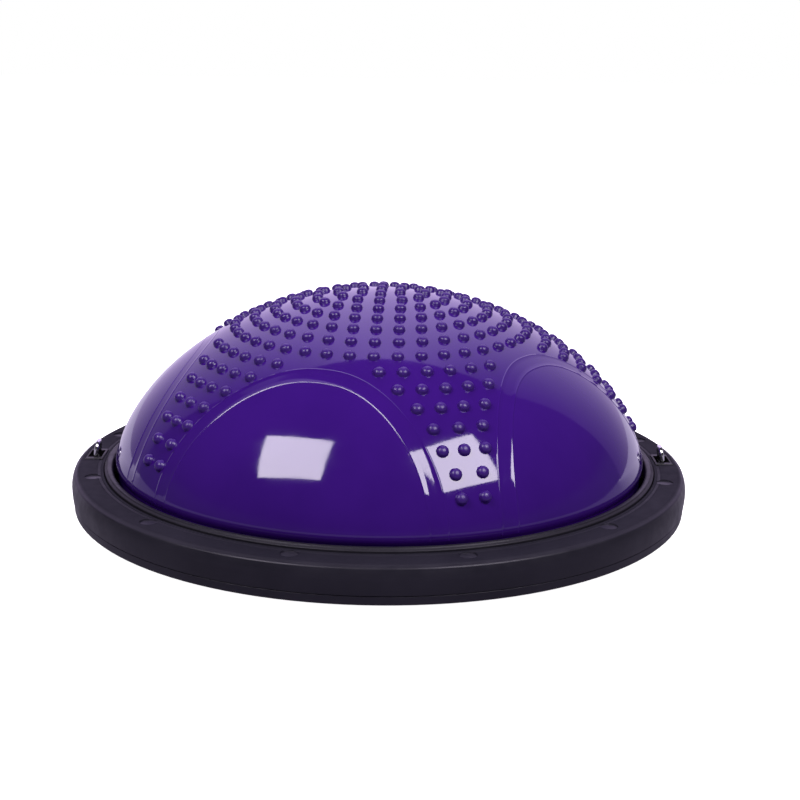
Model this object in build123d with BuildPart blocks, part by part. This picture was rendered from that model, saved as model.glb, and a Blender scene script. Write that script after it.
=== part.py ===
from build123d import *
from math import cos, radians, sin
import os

# Half-ball balance trainer, in millimetres.  The origin is the centre of the underside, +Z up.
# An inflated dome is clamped by its moulded flange between a top ring and a base plate.
# Two wire loops for exercise bands hinge in sockets at -X and +X.  The dome is filled through
# a plugged valve in the middle of the underside.

# ---- driving dimensions ----
outer_dia = 580.0
foot_drop = 1.5
platform_h = 32.5
seam_h = 7.75
skin_t = 3.0
dome_a = 252.7
dome_b = 176.1
dome_power = 1.85
dome_centre_h = 19.7
dome_wall = 3.0
loop_wire_dia = 4.2
loop_outer_w = 20.0
loop_rise = 15.0
loop_lean = 8.0
screw_count = 12
foot_count = 6

# ---- levels above the floor ----
rim_z = foot_drop
seam_z = rim_z + seam_h
deck_z = rim_z + platform_h
deck_under_z = deck_z - skin_t
skin_top_z = rim_z + 3.5
plate_top_z = rim_z + 14.0
flange_z = rim_z + 21.0
flange_top_z = flange_z + 4.0
widest_z = rim_z + 20.0
wall_top_z = deck_z - 3.9
shoulder_z = deck_z - 1.6
lip_top_z = rim_z + 36.0
dome_centre_z = rim_z + dome_centre_h

# ---- radii ----
outer_r = outer_dia / 2
rim_r = outer_r - 1.6
seam_r = outer_r - 0.9
wall_top_r = outer_r - 1.7
shoulder_r = outer_r - 3.7
crown_r = outer_r - 8.4
lip_in_r = 252.0
lip_out_r = 260.1
deck_in_r = lip_out_r + 0.7
screw_circle_r = 271.0
foot_circle_r = 225.0
socket_r = 272.2
neck_r = 247.5
flange_r = 263.3

# ---- dome ----
tuck_z = rim_z + 44.0
neck_z = rim_z + 33.0
profile_steps = 14
floor_t = 2.5
floor_top_z = plate_top_z + floor_t

# ---- platform details ----
spigot_r = seam_r - skin_t - 0.5
seam_gap = 0.45
seam_inset = 0.3
lip_round = 3.4
upstand_in_r = 257.0
upstand_out_r = 262.5
rib_t = 3.0
ring_rib_radii = (110.0, 188.0)
radial_rib_count = 12
groove_radii = (60.0, 128.0, 196.0, 256.0)
groove_w = 3.0
groove_depth = 1.0
dimple_r = 7.5
dimple_depth = 0.6
edge_soft = 0.6

# ---- screws through the base plate into the top ring ----
screw_offset_deg = 15.0
screw_shank_r = 1.9
screw_head_r = 4.2
screw_head_h = 2.5
screw_bore_clear = 0.3
screw_seat_z = rim_z + 4.5
screw_tip_z = deck_under_z - 4.0
boss_r = 5.0
plate_boss_r = 7.0
counterbore_r = 4.7
drive_r = 1.6
drive_depth = 1.2

# ---- rubber feet ----
foot_r = 15.0
foot_fit = 0.3
foot_top_z = rim_z + 1.5

# ---- valve ----
valve_bore_r = 4.5
valve_body_r = 9.0
valve_flange_r = 16.0
valve_flange_t = 2.0
valve_bottom_z = rim_z + 8.0
valve_hole_r = 10.0
well_r = 28.0
well_roof_z = rim_z + 11.0
plug_clear = 0.05
plug_head_r = 8.0
plug_head_h = 2.5
plug_stem_h = 9.0
plug_tip_chamfer = 0.8
plug_head_chamfer = 0.75
plug_slot_len = 8.8
plug_slot_w = 2.0
plug_slot_depth = 1.0

# ---- loop sockets ----
socket_w = 16.0
socket_len = 33.0
pocket_w = 13.0
pocket_len = 22.0
socket_proud = 0.8
socket_gap = 0.4
socket_base_z = rim_z + 21.5
socket_flange_t = 4.0
socket_flange_len = 58.0
socket_screw_y = 22.5
socket_boss_r = 4.0
socket_screw_r = 1.5
socket_head_r = 3.2
socket_head_h = 2.0
pocket_floor_t = 1.2

# ---- wire loops ----
wire_r = loop_wire_dia / 2
pivot_clear = 0.05
hinge_z = rim_z + 28.5
leg_y = loop_outer_w / 2 - wire_r
pivot_end_y = 14.5
pivot_bore_depth = 4.2
crown_z = deck_z + loop_rise - wire_r
crown_bend_r = 6.6
foot_bend_r = 2.9

sides = {"left": -1, "right": 1}


def dome_radius(z, inset):
    """Radius of the inflated dome at a height, with the profile moved in by the wall thickness."""
    rise = (z - dome_centre_z) / (dome_b - inset)
    return (dome_a - inset) * (1 - rise**dome_power) ** (1 / dome_power)


def dome_points(bottom_z, inset):
    """Profile points from the bottom of the round stretch to the apex, closer together near the top."""
    apex_z = dome_centre_z + dome_b - inset
    points = []
    for step in range(profile_steps + 1):
        turn = radians(90 * step / profile_steps)
        z = bottom_z + (apex_z - bottom_z) * sin(turn)
        points.append((dome_radius(z, inset) if step < profile_steps else 0.0, z))
    return points


def on_circle(radius, degrees):
    return (radius * cos(radians(degrees)), radius * sin(radians(degrees)))


screw_spots = [on_circle(screw_circle_r, screw_offset_deg + 360 / screw_count * k) for k in range(screw_count)]
foot_spots = [on_circle(foot_circle_r, screw_offset_deg + 360 / foot_count * k) for k in range(foot_count)]

# ---- inflated dome: moulded skin with a neck that tucks in below its widest line and a clamped flange ----
outer_points = dome_points(tuck_z, 0.0)
inner_points = dome_points(tuck_z, dome_wall)
neck_in_r = neck_r - dome_wall
with BuildPart() as dome_shell:
    with BuildSketch(Plane.XZ):
        with BuildLine():
            outer_line = Spline(outer_points, tangents=[(0.0, 1.0), (-1.0, 0.0)])
            Spline([(neck_r, neck_z), outer_points[0]], tangents=[(0.12, 1.0), (0.0, 1.0)])
            Polyline(
                (neck_r, neck_z),
                (neck_r, flange_top_z),
                (flange_r, flange_top_z),
                (flange_r, flange_z),
                (neck_r, flange_z),
                (neck_r, floor_top_z),
                (neck_in_r, floor_top_z),
                (neck_in_r, neck_z),
            )
            Spline([(neck_in_r, neck_z), inner_points[0]], tangents=[(0.12, 1.0), (0.0, 1.0)])
            Spline(inner_points, tangents=[(0.0, 1.0), (-1.0, 0.0)])
            Line(inner_points[-1], outer_points[-1])
        make_face()
    revolve(axis=Axis.Z)

# ---- flat floor of the dome, with a hole for the valve ----
with BuildPart() as dome_floor:
    with BuildSketch(Plane.XY.offset(plate_top_z)):
        Circle(neck_r)
        Circle(valve_body_r, mode=Mode.SUBTRACT)
    extrude(amount=floor_t)

# ---- rounded lip ring in the gap between the dome and the deck ----
with BuildPart() as lip_ring:
    with BuildSketch(Plane.XY.offset(flange_top_z)):
        Circle(lip_out_r)
        Circle(lip_in_r, mode=Mode.SUBTRACT)
    extrude(amount=lip_top_z - flange_top_z)
    fillet(lip_ring.faces().sort_by(Axis.Z)[-1].edges(), radius=lip_round)

# outer line of the rim from the seam up over the bulged wall, the tight shoulder and the falling edge of the deck
rim_arcs = (
    ((seam_r, seam_z + seam_gap), (outer_r - 0.25, widest_z - 6.0), (outer_r, widest_z)),
    ((outer_r, widest_z), (outer_r - 0.45, widest_z + 4.5), (wall_top_r, wall_top_z)),
    ((wall_top_r, wall_top_z), (outer_r - 2.35, deck_z - 2.5), (shoulder_r, shoulder_z)),
    ((shoulder_r, shoulder_z), (outer_r - 5.9, deck_z - 0.45), (crown_r, deck_z)),
)

# ---- top ring: bulged wall, flat deck, collar on the dome's flange, screw bosses and loop slots ----
with BuildPart() as top_ring:
    with BuildSketch(Plane.XZ):
        with BuildLine():
            for start, middle, end in rim_arcs:
                ThreePointArc(start, middle, end)
            Polyline(
                (crown_r, deck_z),
                (deck_in_r, deck_z),
                (deck_in_r, flange_top_z),
                (deck_in_r + skin_t, flange_top_z),
                (deck_in_r + skin_t, deck_under_z),
                (crown_r, deck_under_z),
                (wall_top_r - skin_t, wall_top_z - skin_t),
                (outer_r - skin_t, widest_z),
                (seam_r - skin_t, seam_z + seam_gap),
                (seam_r, seam_z + seam_gap),
            )
        make_face()
    revolve(axis=Axis.Z)
    with BuildSketch(Plane.XY.offset(plate_top_z)):
        with Locations(*screw_spots):
            Circle(boss_r)
    extrude(amount=deck_under_z - plate_top_z)
    with BuildSketch(Plane.XY.offset(plate_top_z)):
        with Locations(*screw_spots):
            Circle(screw_shank_r)
    extrude(amount=screw_tip_z - plate_top_z, mode=Mode.SUBTRACT)
    with BuildSketch(Plane.XY.offset(deck_z)):
        with Locations(*screw_spots):
            Circle(dimple_r)
    extrude(amount=-dimple_depth, mode=Mode.SUBTRACT)
    boss_spots = [(side * socket_r, y) for side in (-1, 1) for y in (-socket_screw_y, socket_screw_y)]
    with BuildSketch(Plane.XY.offset(socket_base_z + socket_flange_t)):
        with Locations(*boss_spots):
            Circle(socket_boss_r)
    extrude(amount=deck_under_z - socket_base_z - socket_flange_t)
    with BuildSketch(Plane.XY.offset(socket_base_z + socket_flange_t)):
        with Locations(*boss_spots):
            Circle(socket_screw_r)
    extrude(amount=deck_under_z - socket_base_z - socket_flange_t, mode=Mode.SUBTRACT)
    with BuildSketch(Plane.XY.offset(deck_z)):
        with Locations((-socket_r, 0), (socket_r, 0)):
            Rectangle(socket_w + 2 * socket_gap, socket_len + 2 * socket_gap)
    extrude(amount=-2 * skin_t, mode=Mode.SUBTRACT)

# ---- base plate: flat underside with a valve well and grooves, ribs and bosses inside ----
with BuildPart() as base_plate:
    with BuildSketch(Plane.XZ):
        with BuildLine():
            Polyline(
                (valve_hole_r, well_roof_z),
                (well_r, well_roof_z),
                (well_r, rim_z + edge_soft),
                (well_r + edge_soft, rim_z),
                (rim_r - edge_soft, rim_z),
                (rim_r, rim_z + edge_soft),
                (seam_r - seam_inset, seam_z - edge_soft),
                (seam_r - seam_inset - edge_soft, seam_z),
                (spigot_r, seam_z),
                (spigot_r, plate_top_z),
                (spigot_r - rib_t, plate_top_z),
                (spigot_r - rib_t, skin_top_z),
                (upstand_out_r, skin_top_z),
                (upstand_out_r, flange_z),
                (upstand_in_r, flange_z),
                (upstand_in_r, skin_top_z),
                (well_r + rib_t, skin_top_z),
                (well_r + rib_t, plate_top_z),
                (valve_hole_r, plate_top_z),
                close=True,
            )
        make_face()
    revolve(axis=Axis.Z)
    with BuildSketch(Plane.XY.offset(skin_top_z)):
        for radius in sorted(ring_rib_radii, reverse=True):
            Circle(radius + rib_t / 2)
            Circle(radius - rib_t / 2, mode=Mode.SUBTRACT)
        with PolarLocations((well_r + rib_t + spigot_r - rib_t) / 2, radial_rib_count):
            Rectangle(spigot_r - well_r - 2 * rib_t + edge_soft, rib_t)
        with Locations(*screw_spots):
            Circle(plate_boss_r)
    extrude(amount=plate_top_z - skin_top_z)
    with BuildSketch(Plane.XY.offset(rim_z)):
        for radius in sorted(groove_radii, reverse=True):
            Circle(radius + groove_w / 2)
            Circle(radius - groove_w / 2, mode=Mode.SUBTRACT)
    extrude(amount=groove_depth, mode=Mode.SUBTRACT)
    with BuildSketch(Plane.XY.offset(rim_z)):
        with Locations(*foot_spots):
            Circle(foot_r + foot_fit)
    extrude(amount=foot_top_z - rim_z, mode=Mode.SUBTRACT)
    with BuildSketch(Plane.XY.offset(rim_z)):
        with Locations(*screw_spots):
            Circle(screw_shank_r + screw_bore_clear)
    extrude(amount=plate_top_z - rim_z, mode=Mode.SUBTRACT)
    with BuildSketch(Plane.XY.offset(rim_z)):
        with Locations(*screw_spots):
            Circle(counterbore_r)
    extrude(amount=screw_seat_z - rim_z, mode=Mode.SUBTRACT)


def pan_screws(spots, seat_z, tip_z, shank_r, head_r, head_h):
    """Pan-head screws with their heads down, each with a hexagon drive sunk in its head."""
    with BuildPart() as screws:
        with BuildSketch(Plane.XY.offset(seat_z)):
            with Locations(*spots):
                Circle(shank_r)
        extrude(amount=tip_z - seat_z)
        with BuildSketch(Plane.XY.offset(seat_z - head_h)):
            with Locations(*spots):
                Circle(head_r)
        extrude(amount=head_h)
        chamfer(screws.edges().group_by(Axis.Z)[0], length=head_h * 0.25)
        with BuildSketch(Plane.XY.offset(seat_z - head_h)):
            with Locations(*spots):
                RegularPolygon(drive_r, 6)
        extrude(amount=drive_depth, mode=Mode.SUBTRACT)
    return screws


ring_screws = pan_screws(screw_spots, screw_seat_z, screw_tip_z, screw_shank_r, screw_head_r, screw_head_h)
socket_screws = pan_screws(
    boss_spots, socket_base_z, deck_under_z - skin_t / 2, socket_screw_r, socket_head_r, socket_head_h
)

# ---- valve: soft seat with its flange inside the dome, and a pull-out plug ----
with BuildPart() as valve_seat:
    with BuildSketch(Plane.XY.offset(valve_bottom_z)):
        Circle(valve_body_r)
    extrude(amount=floor_top_z - valve_bottom_z)
    with BuildSketch(Plane.XY.offset(floor_top_z)):
        Circle(valve_flange_r)
    extrude(amount=valve_flange_t)
    with BuildSketch(Plane.XY.offset(valve_bottom_z)):
        Circle(valve_bore_r)
    extrude(amount=floor_top_z + valve_flange_t - valve_bottom_z, mode=Mode.SUBTRACT)

with BuildPart() as valve_plug:
    with BuildSketch(Plane.XY.offset(valve_bottom_z)):
        Circle(plug_head_r)
    extrude(amount=-plug_head_h)
    chamfer(valve_plug.edges().group_by(Axis.Z)[0], length=plug_head_chamfer)
    with BuildSketch(Plane.XY.offset(valve_bottom_z)):
        Circle(valve_bore_r - plug_clear)
    extrude(amount=plug_stem_h)
    chamfer(valve_plug.edges().group_by(Axis.Z)[-1], length=plug_tip_chamfer)
    with BuildSketch(Plane.XY.offset(valve_bottom_z - plug_head_h)):
        Rectangle(plug_slot_len, plug_slot_w)
    extrude(amount=plug_slot_depth, mode=Mode.SUBTRACT)

# ---- loop sockets: a block that stands through the slot in the deck, on a flange screwed up from below ----
sockets = {}
for side, sign in sides.items():
    x = sign * socket_r
    with BuildPart() as socket:
        with BuildSketch(Plane.XY.offset(socket_base_z)):
            with Locations((x, 0)):
                RectangleRounded(socket_w, socket_flange_len, radius=socket_w / 4)
        extrude(amount=socket_flange_t)
        with BuildSketch(Plane.XY.offset(socket_base_z)):
            with Locations((x, 0)):
                Rectangle(socket_w, socket_len)
        extrude(amount=deck_z + socket_proud - socket_base_z)
        chamfer(socket.faces().sort_by(Axis.Z)[-1].edges(), length=edge_soft)
        with BuildSketch(Plane.XY.offset(socket_base_z + pocket_floor_t)):
            with Locations((x, 0)):
                Rectangle(pocket_w, pocket_len)
        extrude(amount=deck_z, mode=Mode.SUBTRACT)
        with BuildSketch(Plane.XZ.offset(-pocket_len / 2 - pivot_bore_depth)):
            with Locations((x, hinge_z)):
                Circle(wire_r + pivot_clear)
        extrude(amount=pocket_len + 2 * pivot_bore_depth, mode=Mode.SUBTRACT)
        with BuildSketch(Plane.XY.offset(socket_base_z)):
            with Locations((x, -socket_screw_y), (x, socket_screw_y)):
                Circle(socket_screw_r + screw_bore_clear)
        extrude(amount=socket_flange_t, mode=Mode.SUBTRACT)
    sockets[side] = socket

# ---- wire loops: a bail with its ends bent outwards into the socket's side walls, leaning to the dome ----
loops = {}
for side, sign in sides.items():
    upright = Plane(origin=(sign * socket_r, 0, hinge_z), x_dir=(0, 1, 0), z_dir=(1, 0, 0))
    leaning = upright.rotated((0, -sign * loop_lean, 0))
    with BuildPart() as loop:
        with BuildLine(leaning) as centre_line:
            FilletPolyline(
                (-pivot_end_y, 0),
                (-leg_y, 0),
                (-leg_y, crown_z - hinge_z),
                (leg_y, crown_z - hinge_z),
                (leg_y, 0),
                (pivot_end_y, 0),
                radius=[foot_bend_r, crown_bend_r, crown_bend_r, foot_bend_r],
            )
        with BuildSketch(Plane(origin=centre_line.line @ 0, z_dir=centre_line.line % 0)):
            Circle(wire_r)
        sweep()
    loops[side] = loop

# ---- rubber feet, pressed into round recesses of the underside ----
feet = {}
for number, spot in enumerate(foot_spots, start=1):
    with BuildPart() as foot:
        with BuildSketch(Plane.XY):
            with Locations(spot):
                Circle(foot_r)
        extrude(amount=foot_top_z)
        chamfer(foot.edges().group_by(Axis.Z)[0], length=edge_soft)
    feet[f"foot_{number}"] = foot

pieces = {
    "dome_shell": dome_shell,
    "dome_floor": dome_floor,
    "lip_ring": lip_ring,
    "top_ring": top_ring,
    "base_plate": base_plate,
    "ring_screws": ring_screws,
    "valve_seat": valve_seat,
    "valve_plug": valve_plug,
    "socket_left": sockets["left"],
    "socket_right": sockets["right"],
    "socket_screws": socket_screws,
    "loop_left": loops["left"],
    "loop_right": loops["right"],
    **feet,
}

os.makedirs("parts", exist_ok=True)
for name, piece in pieces.items():
    piece.part.label = name
    export_step(piece.part, f"parts/{name}.step")
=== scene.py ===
import math

import bmesh
import bpy
from mathutils import Matrix, Vector

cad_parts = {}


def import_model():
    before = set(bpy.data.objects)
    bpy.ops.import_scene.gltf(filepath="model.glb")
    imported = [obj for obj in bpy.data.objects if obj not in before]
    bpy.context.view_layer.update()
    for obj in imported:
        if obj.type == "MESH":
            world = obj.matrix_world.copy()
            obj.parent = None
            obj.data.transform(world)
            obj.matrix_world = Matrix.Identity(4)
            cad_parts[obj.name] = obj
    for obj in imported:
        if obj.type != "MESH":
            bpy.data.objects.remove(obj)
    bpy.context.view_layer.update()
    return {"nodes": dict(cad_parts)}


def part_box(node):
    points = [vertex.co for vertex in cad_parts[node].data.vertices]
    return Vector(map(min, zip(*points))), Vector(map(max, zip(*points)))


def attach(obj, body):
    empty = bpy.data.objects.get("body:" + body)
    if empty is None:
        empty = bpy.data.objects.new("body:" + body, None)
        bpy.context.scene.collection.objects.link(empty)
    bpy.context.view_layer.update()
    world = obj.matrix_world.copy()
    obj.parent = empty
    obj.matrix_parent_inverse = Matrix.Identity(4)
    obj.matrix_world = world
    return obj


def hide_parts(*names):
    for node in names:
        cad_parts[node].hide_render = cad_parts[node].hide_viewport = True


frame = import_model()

# Half-ball balance trainer.  Azimuth 0 is the front (-Y) and grows towards +X; metres throughout.
MM = 0.001
RIM_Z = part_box("base_plate")[0].z
APEX_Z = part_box("dome_shell")[1].z
OUTER_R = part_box("top_ring")[1].x
DECK_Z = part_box("top_ring")[1].z
LIP_LOW, LIP_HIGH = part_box("lip_ring")

# Dome profile: a superellipse down to the tuck, then a small bulge over the lip and a straight neck.
DOME_A = 252.7 * MM
DOME_B = 176.1 * MM
DOME_POWER = 1.85
DOME_CENTRE_Z = APEX_Z - DOME_B
TUCK_Z = RIM_Z + 44 * MM
NECK_R = 247.5 * MM
NECK_Z = RIM_Z + 33 * MM
NECK_LOW_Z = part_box("dome_floor")[1].z + 0.1 * MM
DOME_SEGMENTS = 288
DOME_ROWS = 110

# Moulded pattern: nubs on rings a fixed arc apart, and raised bands along five arches.
NUB_PITCH = 20.3 * MM
NUB_SPACING = 20.4 * MM
NUB_FOOT_R = 5.95 * MM
NUB_HEIGHT = 5.1 * MM
NUB_SUNK = 0.5 * MM
NUB_SIDES = 12
# Each step up a nub: share of its height, and how much the top narrows.
NUB_STEPS = ((0.168, 0.866), (0.307, 0.969), (0.277, 0.83), (0.178, 0.641), (0.07, 0.40))
FULL_RINGS = 7
NUB_TURN = math.radians(-2.6)
# Each row down a leg: number of nubs, and their spacing in mm.
LEG_ROWS = ((6, 20.4), (5, 20.4), (4, 20.0), (3, 21.6), (3, 18.6), (2, 23.4), (2, 20.4))
LEG_COUNT = 5
LEG_TURN = math.radians(18.3)
ARCH_TURNS = [math.radians(t) for t in (-18.5, 54.9, 126.1, 197.3, 268.5)]
ARCH_FOOT = 317 * MM
ARCH_RISE = (140 * MM, 155 * MM)
ARCH_HALF_WIDTH = (math.radians(27.9), math.radians(31.4))
ARCH_POWER = 2.25


def arc_through(a, b, c, steps):
    """Points on the circle through three points of the (radius, height) plane, from a to c."""
    ax, ay, bx, by, cx, cy = *a, *b, *c
    d = 2 * (ax * (by - cy) + bx * (cy - ay) + cx * (ay - by))
    ux = ((ax**2 + ay**2) * (by - cy) + (bx**2 + by**2) * (cy - ay) + (cx**2 + cy**2) * (ay - by)) / d
    uy = ((ax**2 + ay**2) * (cx - bx) + (bx**2 + by**2) * (ax - cx) + (cx**2 + cy**2) * (bx - ax)) / d
    start = math.atan2(ay - uy, ax - ux)
    middle = (math.atan2(by - uy, bx - ux) - start + math.pi) % math.tau - math.pi
    sweep = (math.atan2(cy - uy, cx - ux) - start + math.pi) % math.tau - math.pi
    if sweep * middle < 0:
        sweep += math.copysign(math.tau, middle)
    radius = math.hypot(ax - ux, ay - uy)
    turns = [start + sweep * k / steps for k in range(steps + 1)]
    return [(ux + radius * math.cos(t), uy + radius * math.sin(t)) for t in turns]


def rounded(corners, steps=4):
    """Outline whose corners, each (radius, height, fillet), are rounded by arcs."""
    outline = []
    count = len(corners)
    for k, (x, y, fillet) in enumerate(corners):
        here = Vector((x, y))
        back = (Vector(corners[k - 1][:2]) - here).normalized()
        ahead = (Vector(corners[(k + 1) % count][:2]) - here).normalized()
        if fillet <= 0:
            outline.append((x, y))
            continue
        half = back.angle(ahead) / 2
        reach = fillet / math.tan(half)
        centre = here + (back + ahead).normalized() * fillet / math.sin(half)
        first = here + back * reach
        last = here + ahead * reach
        middle = centre + (here - centre).normalized() * fillet
        outline += arc_through(tuple(first), tuple(middle), tuple(last), steps)
    return outline


def new_object(name, mesh):
    piece = bpy.data.objects.new(name, mesh)
    bpy.context.scene.collection.objects.link(piece)
    return piece


def finish_mesh(bm, name, sharp=math.radians(32)):
    """Closes seams, turns faces outwards and shades smooth with creases kept."""
    bmesh.ops.remove_doubles(bm, verts=bm.verts, dist=1e-6)
    bmesh.ops.recalc_face_normals(bm, faces=bm.faces)
    mesh = bpy.data.meshes.new(name)
    bm.to_mesh(mesh)
    bm.free()
    mesh.shade_smooth()
    mesh.set_sharp_from_angle(angle=sharp)
    return mesh


def lathe(name, outline, segments, loop=True):
    """Turns a (radius, height) outline about Z.  loop closes the outline; points on the axis become poles."""
    bm = bmesh.new()
    rings = []
    for radius, z in outline:
        if radius < 1e-7:
            rings.append([bm.verts.new((0, 0, z))] * segments)
            continue
        turns = [math.tau * k / segments for k in range(segments)]
        rings.append([bm.verts.new((radius * math.sin(t), -radius * math.cos(t), z)) for t in turns])
    pairs = list(zip(rings, rings[1:] + rings[:1] if loop else rings[1:]))
    for low, high in pairs:
        for k in range(segments):
            corners = [low[k], low[(k + 1) % segments], high[(k + 1) % segments], high[k]]
            corners = list(dict.fromkeys(corners))
            if len(corners) > 2:
                bm.faces.new(corners)
    return new_object(name, finish_mesh(bm, name))


# ---- materials ----
def material(name):
    """A new node material with its nodes, links and surface shader."""
    mat = bpy.data.materials.new(name)
    mat.use_nodes = True
    nodes = mat.node_tree.nodes
    shader = nodes["Principled BSDF"]
    return mat, nodes, mat.node_tree.links, shader


def noise(nodes, links, scale, detail=3.0, rough=0.5, stretch=(1, 1, 1)):
    """Noise on Object coordinates; scale is in features per metre."""
    place = nodes.new("ShaderNodeTexCoord")
    mapping = nodes.new("ShaderNodeMapping")
    mapping.inputs["Scale"].default_value = stretch
    texture = nodes.new("ShaderNodeTexNoise")
    texture.inputs["Scale"].default_value = scale
    texture.inputs["Detail"].default_value = detail
    texture.inputs["Roughness"].default_value = rough
    links.new(place.outputs["Object"], mapping.inputs["Vector"])
    links.new(mapping.outputs["Vector"], texture.inputs["Vector"])
    return texture.outputs["Fac"]


def spread(nodes, links, source, low, high, at=(0.35, 0.65)):
    """Maps a factor to a range of values or of colours."""
    if isinstance(low, tuple):
        ramp = nodes.new("ShaderNodeValToRGB")
        ramp.color_ramp.elements[0].position = at[0]
        ramp.color_ramp.elements[1].position = at[1]
        ramp.color_ramp.elements[0].color = (*low, 1)
        ramp.color_ramp.elements[1].color = (*high, 1)
        links.new(source, ramp.inputs["Fac"])
        return ramp.outputs["Color"]
    remap = nodes.new("ShaderNodeMapRange")
    remap.inputs["From Min"].default_value = at[0]
    remap.inputs["From Max"].default_value = at[1]
    remap.inputs["To Min"].default_value = low
    remap.inputs["To Max"].default_value = high
    links.new(source, remap.inputs["Value"])
    return remap.outputs["Result"]


def bump(nodes, links, shader, source, depth, strength, before=None):
    """Adds relief to a shader, on top of any relief given in before."""
    relief = nodes.new("ShaderNodeBump")
    relief.inputs["Strength"].default_value = strength
    relief.inputs["Distance"].default_value = depth
    links.new(source, relief.inputs["Height"])
    if before is not None:
        links.new(before, relief.inputs["Normal"])
    links.new(relief.outputs["Normal"], shader.inputs["Normal"])
    return relief.outputs["Normal"]


def dome_vinyl(name, dark, light, polish, coat):
    """Inflated vinyl: cloudy pigment, faint orange peel and softly uneven polish."""
    mat, nodes, links, shader = material(name)
    cloud = noise(nodes, links, scale=9, detail=4, rough=0.6)
    links.new(spread(nodes, links, cloud, dark, light), shader.inputs["Base Color"])
    smear = noise(nodes, links, scale=38, detail=3, rough=0.6, stretch=(1, 1, 2.5))
    links.new(spread(nodes, links, smear, polish[0], polish[1]), shader.inputs["Roughness"])
    swell = noise(nodes, links, scale=22, detail=1.5)
    peel = noise(nodes, links, scale=420, detail=2)
    waves = bump(nodes, links, shader, swell, 0.5 * MM, 0.35)
    bump(nodes, links, shader, peel, 0.02 * MM, 0.5, waves)
    shader.inputs["IOR"].default_value = 1.52
    shader.inputs["Coat Weight"].default_value = coat
    shader.inputs["Coat Roughness"].default_value = 0.03
    return mat


def moulded_plastic(name, dark, light, polish, grain_depth, matt_from=None):
    """Moulded plastic with a spark-eroded grain and soft flow marks; matt above the height matt_from."""
    mat, nodes, links, shader = material(name)
    flow = noise(nodes, links, scale=14, detail=4, rough=0.6)
    links.new(spread(nodes, links, flow, dark, light), shader.inputs["Base Color"])
    worn = noise(nodes, links, scale=55, detail=4, rough=0.65)
    sheen = spread(nodes, links, worn, polish[0], polish[1])
    shader.inputs["Specular IOR Level"].default_value = 0.3
    if matt_from is not None:
        place = nodes.new("ShaderNodeTexCoord")
        split = nodes.new("ShaderNodeSeparateXYZ")
        rougher = nodes.new("ShaderNodeMath")
        rougher.operation = "ADD"
        links.new(place.outputs["Object"], split.inputs["Vector"])
        links.new(sheen, rougher.inputs[0])
        top = (matt_from, matt_from + 1 * MM)
        links.new(spread(nodes, links, split.outputs["Z"], 0.0, 0.3, top), rougher.inputs[1])
        duller = spread(nodes, links, split.outputs["Z"], 0.3, 0.06, top)
        links.new(duller, shader.inputs["Specular IOR Level"])
        sheen = rougher.outputs[0]
    links.new(sheen, shader.inputs["Roughness"])
    shader.inputs["Specular Tint"].default_value = (0.92, 0.90, 1.0, 1)
    pits = noise(nodes, links, scale=900, detail=3, rough=0.6)
    swell = noise(nodes, links, scale=30, detail=2)
    grain = bump(nodes, links, shader, pits, grain_depth, 0.5)
    bump(nodes, links, shader, swell, 0.25 * MM, 0.2, grain)
    return mat


def polished_wire(name):
    """Plated wire with fine draw marks along its bends."""
    mat, nodes, links, shader = material(name)
    marks = noise(nodes, links, scale=700, detail=3, rough=0.6, stretch=(1, 1, 0.2))
    plating = spread(nodes, links, marks, (0.78, 0.79, 0.81), (0.9, 0.9, 0.92))
    links.new(plating, shader.inputs["Base Color"])
    links.new(spread(nodes, links, marks, 0.06, 0.16), shader.inputs["Roughness"])
    bump(nodes, links, shader, marks, 0.02 * MM, 0.3)
    shader.inputs["Metallic"].default_value = 1.0
    return mat


def zinc_steel(name):
    """Zinc-plated steel with a fine fleck."""
    mat, nodes, links, shader = material(name)
    flecks = noise(nodes, links, scale=1200, detail=4, rough=0.7)
    plating = spread(nodes, links, flecks, (0.36, 0.37, 0.39), (0.58, 0.58, 0.6))
    links.new(plating, shader.inputs["Base Color"])
    links.new(spread(nodes, links, flecks, 0.25, 0.45), shader.inputs["Roughness"])
    bump(nodes, links, shader, flecks, 0.02 * MM, 0.4)
    shader.inputs["Metallic"].default_value = 1.0
    return mat


def soft_rubber(name, dark, light):
    """Matt rubber with a fine pebble grain and a dusty bloom."""
    mat, nodes, links, shader = material(name)
    bloom = noise(nodes, links, scale=60, detail=5, rough=0.65)
    links.new(spread(nodes, links, bloom, dark, light), shader.inputs["Base Color"])
    links.new(spread(nodes, links, bloom, 0.6, 0.8), shader.inputs["Roughness"])
    pebbles = noise(nodes, links, scale=1500, detail=2, rough=0.5)
    bump(nodes, links, shader, pebbles, 0.06 * MM, 0.6)
    return mat


# Each finish: darker and lighter pigment, and the least and greatest roughness.
VINYL = dome_vinyl(
    "dome_vinyl", dark=(0.032, 0.0042, 0.152), light=(0.038, 0.0053, 0.174), polish=(0.045, 0.085), coat=0.25
)
NUB_VINYL = dome_vinyl(
    "nub_vinyl", dark=(0.031, 0.0040, 0.146), light=(0.038, 0.0054, 0.170), polish=(0.30, 0.40), coat=0.0
)
PLATFORM = moulded_plastic(
    "platform_black",
    dark=(0.0125, 0.0117, 0.0185),
    light=(0.0175, 0.0163, 0.025),
    polish=(0.32, 0.44),
    grain_depth=0.03 * MM,
    matt_from=DECK_Z - 1.2 * MM,
)
LIP = moulded_plastic(
    "lip_black",
    dark=(0.0115, 0.0105, 0.016),
    light=(0.016, 0.015, 0.021),
    polish=(0.38, 0.5),
    grain_depth=0.02 * MM,
)
SOCKET = moulded_plastic(
    "socket_black",
    dark=(0.008, 0.008, 0.009),
    light=(0.013, 0.013, 0.014),
    polish=(0.34, 0.48),
    grain_depth=0.02 * MM,
)
CHROME = polished_wire("loop_chrome_plate")
ZINC = zinc_steel("zinc_screw")
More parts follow.
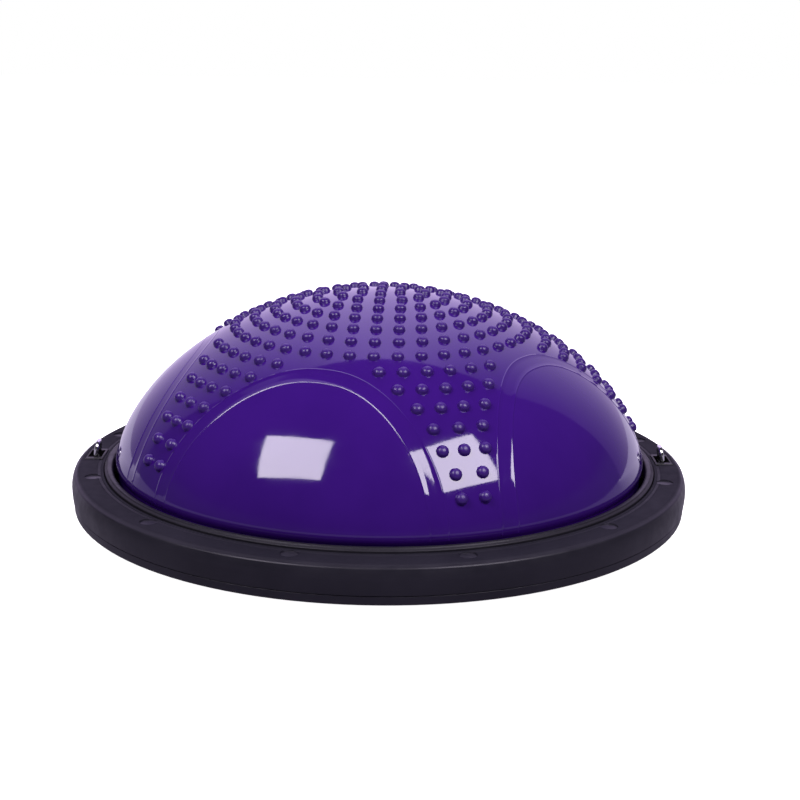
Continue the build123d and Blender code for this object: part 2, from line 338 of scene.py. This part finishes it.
FOOT = soft_rubber("foot_rubber_black", dark=(0.010, 0.010, 0.011), light=(0.020, 0.020, 0.021))
VALVE = soft_rubber("valve_rubber_grey", dark=(0.020, 0.020, 0.022), light=(0.034, 0.034, 0.036))


def give(piece, mat):
    """Makes a material the only one of a piece."""
    piece.data.materials.clear()
    piece.data.materials.append(mat)


# ---- dome surface as a rule ----
def dome_outline():
    """(radius, height) points from the apex down to the neck, close together and evenly spaced."""
    lowest = math.asin(((TUCK_Z - DOME_CENTRE_Z) / DOME_B) ** (DOME_POWER / 2))
    points = []
    for k in range(DOME_ROWS + 1):
        turn = math.pi / 2 + (lowest - math.pi / 2) * k / DOME_ROWS
        radius = DOME_A * max(math.cos(turn), 0.0) ** (2 / DOME_POWER)
        height = DOME_CENTRE_Z + DOME_B * math.sin(turn) ** (2 / DOME_POWER)
        points.append((radius if k else 0.0, height))
    return points


def tuck_outline():
    """The bulge over the lip: a cubic curve from the tuck down to the neck."""
    end = Vector(DOME_LINE[-1])
    slope = (end - Vector(DOME_LINE[-2])).normalized()
    reach = 4.2 * MM
    low = Vector((NECK_R, NECK_Z))
    knots = (end, end + slope * reach, low + Vector((1.6 * MM, 3.4 * MM)), low)
    points = []
    steps = 12
    for k in range(1, steps + 1):
        t = k / steps
        weights = ((1 - t) ** 3, 3 * t * (1 - t) ** 2, 3 * t * t * (1 - t), t**3)
        points.append(tuple(sum((w * p for w, p in zip(weights, knots)), Vector((0, 0)))))
    return points


DOME_LINE = dome_outline()
SKIN_LINE = DOME_LINE + tuck_outline()
ARC = [0.0]
for near, far in zip(SKIN_LINE, SKIN_LINE[1:]):
    ARC.append(ARC[-1] + math.dist(near, far))


def on_dome(arc, azimuth, lift=0.0):
    """Point and outward normal on the dome at an arc length from the apex."""
    arc = min(max(arc, 0.0), ARC[-1] - 1e-6)
    k = max(i for i, length in enumerate(ARC[:-1]) if length <= arc)
    part = (arc - ARC[k]) / (ARC[k + 1] - ARC[k])
    (r0, z0), (r1, z1) = SKIN_LINE[k], SKIN_LINE[k + 1]
    radius, height = r0 + (r1 - r0) * part, z0 + (z1 - z0) * part

    def turn_at(i):
        (ra, za), (rb, zb) = SKIN_LINE[max(i - 1, 0)], SKIN_LINE[min(i + 1, len(SKIN_LINE) - 1)]
        return math.atan2(rb - ra, za - zb)

    tilt = turn_at(k) * (1 - part) + turn_at(k + 1) * part
    if arc < 1e-6:
        tilt = math.pi / 2
    out, up = math.cos(tilt), math.sin(tilt)
    normal = Vector((out * math.sin(azimuth), -out * math.cos(azimuth), up))
    return Vector((radius * math.sin(azimuth), -radius * math.cos(azimuth), height)) + normal * lift, normal


def dome_skin():
    """The skin from the apex over the tuck, down the neck and across underneath."""
    outline = SKIN_LINE + [(NECK_R, NECK_LOW_Z), (0.0, NECK_LOW_Z)]
    return lathe("dome_skin", outline, DOME_SEGMENTS, loop=False)


# ---- geometry node helpers ----
def new_tree(name, sizes):
    """A tree with a geometry input and output and named number inputs."""
    tree = bpy.data.node_groups.new(name, "GeometryNodeTree")
    tree.interface.new_socket("Geometry", in_out="INPUT", socket_type="NodeSocketGeometry")
    keys = {}
    for label, value in sizes.items():
        kind = "NodeSocketInt" if isinstance(value, int) else "NodeSocketFloat"
        socket = tree.interface.new_socket(label, in_out="INPUT", socket_type=kind)
        socket.default_value = value
        keys[label] = socket.identifier
    tree.interface.new_socket("Geometry", in_out="OUTPUT", socket_type="NodeSocketGeometry")
    return tree, keys, tree.nodes.new("NodeGroupInput"), tree.nodes.new("NodeGroupOutput")


def run_tree(name, seed, tree, keys, sizes):
    """Evaluates a tree on a seed mesh and keeps the result as a plain mesh."""
    carrier = new_object(name + "_seed", seed)
    modifier = carrier.modifiers.new("grow", "NODES")
    modifier.node_group = tree
    for label, value in sizes.items():
        modifier[keys[label]] = value
    bpy.context.view_layer.update()
    evaluated = carrier.evaluated_get(bpy.context.evaluated_depsgraph_get())
    mesh = bpy.data.meshes.new_from_object(evaluated)
    mesh.name = name
    carrier.modifiers.remove(modifier)
    bpy.data.objects.remove(carrier)
    return new_object(name, mesh)


def close_tree(tree, geometry, output, mat):
    """Ends a tree in Realize Instances and Set Material."""
    real = tree.nodes.new("GeometryNodeRealizeInstances")
    smooth = tree.nodes.new("GeometryNodeSetShadeSmooth")
    paint = tree.nodes.new("GeometryNodeSetMaterial")
    paint.inputs["Material"].default_value = mat
    tree.links.new(geometry, real.inputs["Geometry"])
    tree.links.new(real.outputs["Geometry"], smooth.inputs["Geometry"])
    tree.links.new(smooth.outputs["Geometry"], paint.inputs["Geometry"])
    tree.links.new(paint.outputs["Geometry"], output.inputs["Geometry"])


# ---- nubs ----
def nub_places():
    """(arc, azimuth) of every nub: full rings near the top, then shorter rows down five legs."""
    places = [(0.0, 0.0)]
    for ring in range(1, FULL_RINGS + 1):
        arc = ring * NUB_PITCH
        point, _ = on_dome(arc, 0.0)
        count = round(math.tau * math.hypot(point.x, point.y) / NUB_SPACING)
        places += [(arc, NUB_TURN + math.tau * k / count) for k in range(count)]
    for row, (count, spacing) in enumerate(LEG_ROWS):
        arc = (FULL_RINGS + 1 + row) * NUB_PITCH
        point, _ = on_dome(arc, 0.0)
        step = spacing * MM / math.hypot(point.x, point.y)
        for leg in range(LEG_COUNT):
            middle = LEG_TURN + math.tau * leg / LEG_COUNT
            places += [(arc, middle + step * (k - (count - 1) / 2)) for k in range(count)]
    return places


def nub_tree(sizes, mat):
    """Stands a button on every seed point, along the point's own outward direction."""
    tree, keys, source, output = new_tree("nub_rows", sizes)
    nodes, links = tree.nodes, tree.links
    disc = nodes.new("GeometryNodeMeshCircle")
    disc.fill_type = "NGON"
    links.new(source.outputs["Sides"], disc.inputs["Vertices"])
    links.new(source.outputs["Foot Radius"], disc.inputs["Radius"])
    shape, top = disc.outputs["Mesh"], None
    for rise, shrink in NUB_STEPS:
        lift = nodes.new("ShaderNodeMath")
        lift.operation = "MULTIPLY"
        lift.inputs[1].default_value = rise
        links.new(source.outputs["Height"], lift.inputs[0])
        raised = nodes.new("GeometryNodeExtrudeMesh")
        links.new(shape, raised.inputs["Mesh"])
        links.new(lift.outputs[0], raised.inputs["Offset Scale"])
        if top is not None:
            links.new(top, raised.inputs["Selection"])
        squeeze = nodes.new("GeometryNodeScaleElements")
        squeeze.inputs["Scale"].default_value = shrink
        links.new(raised.outputs["Mesh"], squeeze.inputs["Geometry"])
        links.new(raised.outputs["Top"], squeeze.inputs["Selection"])
        shape, top = squeeze.outputs["Geometry"], raised.outputs["Top"]
    sunk = nodes.new("GeometryNodeTransform")
    drop = nodes.new("ShaderNodeCombineXYZ")
    depth = nodes.new("ShaderNodeMath")
    depth.operation = "MULTIPLY"
    depth.inputs[1].default_value = -1.0
    links.new(source.outputs["Sunk"], depth.inputs[0])
    links.new(depth.outputs[0], drop.inputs["Z"])
    flipped = nodes.new("GeometryNodeFlipFaces")
    links.new(disc.outputs["Mesh"], flipped.inputs["Mesh"])
    closed = nodes.new("GeometryNodeJoinGeometry")
    links.new(flipped.outputs["Mesh"], closed.inputs["Geometry"])
    links.new(shape, closed.inputs["Geometry"])
    welded = nodes.new("GeometryNodeMergeByDistance")
    welded.inputs["Distance"].default_value = 1e-5
    links.new(closed.outputs["Geometry"], welded.inputs["Geometry"])
    links.new(welded.outputs["Geometry"], sunk.inputs["Geometry"])
    links.new(drop.outputs["Vector"], sunk.inputs["Translation"])
    outward = nodes.new("GeometryNodeInputNamedAttribute")
    outward.data_type = "FLOAT_VECTOR"
    outward.inputs["Name"].default_value = "outward"
    align = nodes.new("FunctionNodeAlignRotationToVector")
    align.axis = "Z"
    links.new(outward.outputs["Attribute"], align.inputs["Vector"])
    place = nodes.new("GeometryNodeInstanceOnPoints")
    links.new(source.outputs["Geometry"], place.inputs["Points"])
    links.new(sunk.outputs["Geometry"], place.inputs["Instance"])
    links.new(align.outputs["Rotation"], place.inputs["Rotation"])
    close_tree(tree, place.outputs["Instances"], output, mat)
    return tree, keys


def dome_nubs():
    """Nubs on every place of the rule, standing square to the skin."""
    seed = bpy.data.meshes.new("nub_seed")
    spots = [on_dome(arc, azimuth) for arc, azimuth in nub_places()]
    seed.from_pydata([point for point, _ in spots], [], [])
    outward = seed.attributes.new("outward", "FLOAT_VECTOR", "POINT")
    outward.data.foreach_set("vector", [value for _, normal in spots for value in normal])
    sizes = {"Sides": NUB_SIDES, "Foot Radius": NUB_FOOT_R, "Height": NUB_HEIGHT, "Sunk": NUB_SUNK}
    tree, keys = nub_tree(sizes, NUB_VINYL)
    return run_tree("dome_nubs", seed, tree, keys, sizes)


# ---- raised bands along the arches ----
# Section of a band: share of the way from its inner to its outer line, and lift off the skin in mm.
BAND_SECTION = (
    (-0.20, -0.90), (-0.12, -0.10), (-0.06, 0.03), (-0.03, 0.20), (0.0, 0.32), (0.03, 0.20), (0.07, 0.07),
    (0.30, 0.05), (0.50, 0.03), (0.70, 0.05),
    (0.93, 0.07), (0.97, 0.20), (1.0, 0.32), (1.03, 0.20), (1.06, 0.03), (1.12, -0.10), (1.20, -0.90),
)


def arch_bands(steps=150):
    """Bands between pairs of half superellipses drawn in arc length and azimuth, closed underneath."""
    bm = bmesh.new()
    for arch_turn in ARCH_TURNS:
        rows = []
        for k in range(steps + 1):
            turn = math.pi * (k / steps - 0.5)
            side = math.copysign(abs(math.sin(turn)) ** (2 / ARCH_POWER), turn)
            top = abs(math.cos(turn)) ** (2 / ARCH_POWER)
            row = []
            for across, lift in BAND_SECTION:
                rise = ARCH_RISE[0] + (ARCH_RISE[1] - ARCH_RISE[0]) * across
                half = ARCH_HALF_WIDTH[0] + (ARCH_HALF_WIDTH[1] - ARCH_HALF_WIDTH[0]) * across
                point, _ = on_dome(ARCH_FOOT - rise * top, arch_turn + half * side, lift * MM)
                row.append(bm.verts.new(point))
            rows.append(row)
        for low, high in zip(rows, rows[1:]):
            for k in range(len(BAND_SECTION)):
                j = (k + 1) % len(BAND_SECTION)
                bm.faces.new((low[k], low[j], high[j], high[k]))
        bm.faces.new(rows[0])
        bm.faces.new(list(reversed(rows[-1])))
    return new_object("arch_bands", finish_mesh(bm, "arch_bands", math.radians(70)))


# ---- platform ----
def cut_away(piece, cutter):
    """Cuts one closed mesh out of another and drops the cutter."""
    modifier = piece.modifiers.new("cut", "BOOLEAN")
    modifier.operation = "DIFFERENCE"
    modifier.solver = "EXACT"
    modifier.object = cutter
    bpy.context.view_layer.update()
    evaluated = piece.evaluated_get(bpy.context.evaluated_depsgraph_get())
    mesh = bpy.data.meshes.new_from_object(evaluated)
    piece.modifiers.remove(modifier)
    old = piece.data
    piece.data = mesh
    bpy.data.meshes.remove(old)
    bpy.data.objects.remove(cutter)


def dimple_cutter(spots, radius, depth):
    """Flat-bottomed dimples with a rounded edge, as closed buttons standing above the deck."""
    bm = bmesh.new()
    sides = 40
    turns = [math.tau * k / sides for k in range(sides)]
    steps = ((0.90, -1.0), (0.97, -0.72), (1.0, -0.2), (1.02, 1.0))
    for x, y in spots:
        rings = []
        for widen, rise in steps:
            r = radius * widen
            z = DECK_Z + depth * rise
            rings.append([bm.verts.new((x + r * math.cos(t), y + r * math.sin(t), z)) for t in turns])
        for low, high in zip(rings, rings[1:]):
            for k in range(sides):
                j = (k + 1) % sides
                bm.faces.new((low[k], low[j], high[j], high[k]))
        bm.faces.new(list(reversed(rings[0])))
        bm.faces.new(rings[-1])
    return new_object("dimple_cutter", finish_mesh(bm, "dimple_cutter"))


def block_cutter(low, high, fillet):
    """Upright block with rounded corners between two points."""
    bm = bmesh.new()
    corners = [(low.x, low.y), (high.x, low.y), (high.x, high.y), (low.x, high.y)]
    outline = rounded([(x, y, fillet) for x, y in corners], 5)
    floor = [bm.verts.new((x, y, low.z)) for x, y in outline]
    roof = [bm.verts.new((x, y, high.z)) for x, y in outline]
    count = len(outline)
    for k in range(count):
        bm.faces.new((floor[k], floor[(k + 1) % count], roof[(k + 1) % count], roof[k]))
    bm.faces.new(list(reversed(floor)))
    bm.faces.new(roof)
    return new_object("block_cutter", finish_mesh(bm, "block_cutter"))


SEAM_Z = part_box("top_ring")[0].z
WIDEST_Z = RIM_Z + 20 * MM
TOP_WALL = 3.0 * MM
BEAD_GAP = 0.7 * MM
SCREW_R = 271.0 * MM
SCREW_COUNT = 12
SCREW_TURN = math.radians(15)
SOCKET_HALF_LENGTH = 16.5 * MM
SOCKET_GAP = 0.45 * MM
DIMPLE_R = 7.5 * MM
DIMPLE_DEPTH = 1.3 * MM


def rim_cover():
    """Top ring: bulged wall, tight shoulder, deck with a falling outer edge and a grooved inner edge."""
    bead_r = LIP_HIGH.x + BEAD_GAP
    widest = (OUTER_R, WIDEST_Z)
    seam = (OUTER_R - 0.9 * MM, SEAM_Z)
    wall_top = (OUTER_R - 1.7 * MM, DECK_Z - 3.9 * MM)
    shoulder = (OUTER_R - 3.7 * MM, DECK_Z - 1.6 * MM)
    crown = (OUTER_R - 8.4 * MM, DECK_Z)
    outline = arc_through(seam, (OUTER_R - 0.25 * MM, WIDEST_Z - 6 * MM), widest, 8)
    outline += arc_through(widest, (OUTER_R - 0.45 * MM, WIDEST_Z + 4.5 * MM), wall_top, 8)[1:]
    outline += arc_through(wall_top, (OUTER_R - 2.35 * MM, DECK_Z - 2.5 * MM), shoulder, 6)[1:]
    outline += arc_through(shoulder, (OUTER_R - 5.9 * MM, DECK_Z - 0.45 * MM), crown, 8)[1:]
    inner = rounded([
        (bead_r + 6.2 * MM, DECK_Z, 0.5 * MM),
        (bead_r + 5.2 * MM, DECK_Z - 0.6 * MM, 0.3 * MM),
        (bead_r + 3.2 * MM, DECK_Z - 0.6 * MM, 0.3 * MM),
        (bead_r + 2.4 * MM, DECK_Z, 0.4 * MM),
        (bead_r, DECK_Z, 0.8 * MM),
        (bead_r, LIP_LOW.z, 0),
        (bead_r + TOP_WALL, LIP_LOW.z, 0),
        (bead_r + TOP_WALL, DECK_Z - TOP_WALL, 0),
        (crown[0], DECK_Z - TOP_WALL, 0),
        (wall_top[0] - TOP_WALL, wall_top[1] - TOP_WALL, 0),
        (OUTER_R - TOP_WALL, WIDEST_Z, 0),
        (seam[0] - TOP_WALL, SEAM_Z, 0),
        (seam[0], SEAM_Z, 0),
        (crown[0], DECK_Z, 0),
    ], 3)
    outline += inner[:-2]
    piece = lathe("rim_cover", outline, 360)
    turns = [SCREW_TURN + math.tau * k / SCREW_COUNT for k in range(SCREW_COUNT)]
    spots = [(SCREW_R * math.cos(t), SCREW_R * math.sin(t)) for t in turns]
    cut_away(piece, dimple_cutter(spots, DIMPLE_R, DIMPLE_DEPTH))
    for node in ("socket_left", "socket_right"):
        low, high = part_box(node)
        half = SOCKET_HALF_LENGTH + SOCKET_GAP
        low = Vector((low.x - SOCKET_GAP, -half, DECK_Z - 5 * MM))
        high = Vector((high.x + SOCKET_GAP, half, DECK_Z + 5 * MM))
        cut_away(piece, block_cutter(low, high, 1.2 * MM))
    piece.data.shade_smooth()
    piece.data.set_sharp_from_angle(angle=math.radians(30))
    return piece


def lip_bead():
    """Rounded bead between the dome and the deck, with a shallow ledge on its outer side."""
    inner, outer = LIP_HIGH.x - 8.1 * MM, LIP_HIGH.x
    outline = rounded([
        (inner, LIP_LOW.z, 0),
        (outer, LIP_LOW.z, 0),
        (outer, LIP_HIGH.z - 2.2 * MM, 1.0 * MM),
        (outer - 2.0 * MM, LIP_HIGH.z - 1.0 * MM, 0.8 * MM),
        (outer - 2.6 * MM, LIP_HIGH.z, 0.8 * MM),
        (inner, LIP_HIGH.z, 3.2 * MM),
    ], 6)
    return lathe("lip_bead", outline, 360)


# ---- camera, light and stage ----
BOX_TINT = (0.99, 0.92, 1.0)
WALL_TINT = (0.79, 0.63, 1.0, 1)
# Colour of the painted glow that the floor gives every ray but the camera's.
FLOOR_GLOW_TINT = (0.83, 0.73, 1.0, 1)
WHITE = (1, 1, 1, 1)
WALL_FADE = 1.9
FAN_SLOPE = 0.55
FLOOR_HALF = 14.0
ROOM_R = 14.0


def swing(first, second, angle):
    """Turns two directions at right angles together, the first towards the second."""
    c, s = math.cos(angle), math.sin(angle)
    return first * c + second * s, second * c - first * s


def camera():
    """Long lens, a little above the platform, turned so that the trainer sits left of centre and low."""
    down, pan, tilt, roll = (math.radians(v) for v in (18.148, 0.7967, 3.653, 0.5815))
    distance = 1.36143
    ahead = Vector((0, math.cos(down), -math.sin(down)))
    right = Vector((1, 0, 0))
    up = right.cross(ahead)
    eye = -ahead * distance + Vector((0, 0, RIM_Z))
    ahead, right = swing(ahead, right, pan)
    ahead, up = swing(ahead, up, tilt)
    right, up = swing(right, up, roll)
    data = bpy.data.cameras.new("camera")
    data.lens = 63.0
    data.sensor_width = 36.0
    data.clip_end = 200.0
    seat = bpy.data.objects.new("camera", data)
    seat.matrix_world = Matrix((right, up, -ahead)).transposed().to_4x4()
    seat.location = eye
    bpy.context.scene.collection.objects.link(seat)
    bpy.context.scene.camera = seat


def panel(name, centre, across, size, glow):
    """Rectangular soft box that faces the trainer; across is the direction of its short edges."""
    facing = centre.normalized()
    across = (across - facing * across.dot(facing)).normalized()
    along = facing.cross(across)
    data = bpy.data.lights.new(name, "AREA")
    data.shape = "RECTANGLE"
    data.size, data.size_y = size
    data.energy = glow * math.pi * size[0] * size[1]
    data.color = BOX_TINT
    lamp = bpy.data.objects.new(name, data)
    lamp.matrix_world = Matrix((across, along, facing)).transposed().to_4x4()
    lamp.location = centre
    lamp.visible_camera = False
    bpy.context.scene.collection.objects.link(lamp)
    return lamp


def toward(azimuth, elevation):
    a, e = math.radians(azimuth), math.radians(elevation)
    return Vector((math.sin(a) * math.cos(e), -math.cos(a) * math.cos(e), math.sin(e)))


def lights():
    """A soft box at each front quarter and a wide one overhead that gives no reflection."""
    panel("left_box", toward(-47, 48.6) * 1.6, Vector((0.338, -0.194, 0.095)), (0.66, 0.60), 10.5)
    panel("right_box", toward(41, 47.8) * 1.6, Vector((0.315, 0.246, 0.022)), (0.70, 0.69), 10.5)
    panel("top_box", toward(180, 62) * 3.0, Vector((1, 0, 0)), (2.2, 1.8), 3.0).visible_glossy = False


def world():
    """Dim room that is a little lighter below and near the horizon."""
    shade = bpy.data.worlds.new("room")
    shade.use_nodes = True
    nodes, links = shade.node_tree.nodes, shade.node_tree.links
    aim = nodes.new("ShaderNodeTexCoord")
    split = nodes.new("ShaderNodeSeparateXYZ")
    links.new(aim.outputs["Generated"], split.inputs["Vector"])
    glow = spread(nodes, links, split.outputs["Z"], 0.08, 0.045, (0.16, 0.25))
    links.new(glow, nodes["Background"].inputs["Strength"])
    nodes["Background"].inputs["Color"].default_value = WHITE
    bpy.context.scene.world = shade


def glow_shader(nodes, links, source, colour):
    """Emission whose strength follows source, or is 1."""
    glow = nodes.new("ShaderNodeEmission")
    glow.inputs["Color"].default_value = colour
    if source is not None:
        links.new(source, glow.inputs["Strength"])
    return glow


def painted_floor_glow(nodes, links):
    """Painted glow of the floor, standing in for bounced light: bright behind the trainer where it fans out,
    darker in front.
    """
    place = nodes.new("ShaderNodeTexCoord")
    split = nodes.new("ShaderNodeSeparateXYZ")
    aside = nodes.new("ShaderNodeMath")
    aside.operation = "ABSOLUTE"
    ahead = nodes.new("ShaderNodeMath")
    ahead.operation = "MULTIPLY_ADD"
    ahead.inputs[1].default_value = -FAN_SLOPE
    links.new(place.outputs["Object"], split.inputs["Vector"])
    links.new(split.outputs["X"], aside.inputs[0])
    links.new(aside.outputs[0], ahead.inputs[0])
    links.new(split.outputs["Y"], ahead.inputs[2])
    return spread(nodes, links, ahead.outputs[0], 0.38, 0.98, (-0.25, 0.0))


def wall_wash(nodes, links):
    """Light on the wall: brightest in the middle and fading to both sides, a little weaker near the floor."""
    place = nodes.new("ShaderNodeTexCoord")
    split = nodes.new("ShaderNodeSeparateXYZ")
    squared, fade, lit = (nodes.new("ShaderNodeMath") for _ in range(3))
    squared.operation = "MULTIPLY"
    fade.operation = "MULTIPLY_ADD"
    fade.inputs[1].default_value = 1 / WALL_FADE**2
    fade.inputs[2].default_value = 1.0
    lit.operation = "DIVIDE"
    links.new(place.outputs["Object"], split.inputs["Vector"])
    links.new(split.outputs["X"], squared.inputs[0])
    links.new(split.outputs["X"], squared.inputs[1])
    links.new(squared.outputs[0], fade.inputs[0])
    links.new(spread(nodes, links, split.outputs["Z"], 1.2, 1.52, (0.6, 2.3)), lit.inputs[0])
    links.new(fade.outputs[0], lit.inputs[1])
    return lit.outputs[0]


def flat_sheet(name, corners):
    """One flat face; it faces the side from which its corners run anticlockwise."""
    bm = bmesh.new()
    bm.faces.new([bm.verts.new(corner) for corner in corners])
    mesh = bpy.data.meshes.new(name)
    bm.to_mesh(mesh)
    bm.free()
    return new_object(name, mesh)


def stage():
    """Pale floor, clear from below, plain white to the camera and a painted glow for every other ray, dark in
    front and bright behind;
    an unseen lit wall behind the trainer; and a white room that only the camera sees."""
    half = FLOOR_HALF
    floor = flat_sheet("floor", [(-half, -half, 0), (half, -half, 0), (half, half, 0), (-half, half, 0)])
    mat, nodes, links, shader = material("pale_floor")
    shader.inputs["Base Color"].default_value = (0.9, 0.9, 0.9, 1)
    shader.inputs["Roughness"].default_value = 0.9
    shader.inputs["Specular IOR Level"].default_value = 0.1
    shader.inputs["Emission Color"].default_value = WHITE
    shader.inputs["Emission Strength"].default_value = 0.97
    # Painted glow: for every ray but the camera's the floor emits light, graded from 0.38 in front to 0.98
    # behind.
    floor_glow_shader = glow_shader(nodes, links, painted_floor_glow(nodes, links), FLOOR_GLOW_TINT)
    rays = nodes.new("ShaderNodeLightPath")
    seen = nodes.new("ShaderNodeMixShader")
    links.new(rays.outputs["Is Camera Ray"], seen.inputs["Fac"])
    links.new(floor_glow_shader.outputs["Emission"], seen.inputs[1])
    links.new(shader.outputs["BSDF"], seen.inputs[2])
    clear = nodes.new("ShaderNodeBsdfTransparent")
    choice = nodes.new("ShaderNodeMixShader")
    side = nodes.new("ShaderNodeNewGeometry")
    links.new(side.outputs["Backfacing"], choice.inputs["Fac"])
    links.new(seen.outputs["Shader"], choice.inputs[1])
    links.new(clear.outputs["BSDF"], choice.inputs[2])
    links.new(choice.outputs["Shader"], nodes["Material Output"].inputs["Surface"])
    give(floor, mat)

    wall = flat_sheet("white_wall", [(-4.3, 2.4, 0), (4.3, 2.4, 0), (4.3, 2.4, 6.0), (-4.3, 2.4, 6.0)])
    mat, nodes, links, _ = material("lit_wall")
    lit = glow_shader(nodes, links, wall_wash(nodes, links), WALL_TINT)
    links.new(lit.outputs["Emission"], nodes["Material Output"].inputs["Surface"])
    give(wall, mat)
    wall.visible_camera = False
    wall.visible_shadow = False

    room = [(0.0, ROOM_R), (ROOM_R, ROOM_R), (ROOM_R, -ROOM_R), (0.0, -ROOM_R)]
    shell = lathe("backdrop", room, 96, loop=False)
    mat, nodes, links, _ = material("pale_backdrop")
    white = glow_shader(nodes, links, None, WHITE)
    links.new(white.outputs["Emission"], nodes["Material Output"].inputs["Surface"])
    give(shell, mat)
    for flag in ("visible_diffuse", "visible_glossy", "visible_transmission", "visible_shadow"):
        setattr(shell, flag, False)


# ---- assembly ----
def stand_for(piece, node, mat, body="platform"):
    """Gives a piece its material and body, and the node that it is shown for."""
    if mat is not None:
        give(piece, mat)
    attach(piece, body)
    if node is not None:
        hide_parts(node)


stand_for(dome_skin(), "dome_shell", VINYL)
stand_for(dome_nubs(), None, None)
stand_for(arch_bands(), None, VINYL)
stand_for(rim_cover(), "top_ring", PLATFORM)
stand_for(lip_bead(), "lip_ring", LIP)

CAD_FINISH = {
    "dome_floor": VINYL,
    "base_plate": PLATFORM,
    "ring_screws": ZINC,
    "socket_screws": ZINC,
    "valve_seat": VALVE,
    "valve_plug": VALVE,
    "socket_left": SOCKET,
    "socket_right": SOCKET,
    "loop_left": CHROME,
    "loop_right": CHROME,
    **{f"foot_{k}": FOOT for k in range(1, 7)},
}
for node, mat in CAD_FINISH.items():
    give(frame["nodes"][node], mat)

camera()
lights()
world()
stage()
bpy.context.scene.view_settings.view_transform = "Standard"
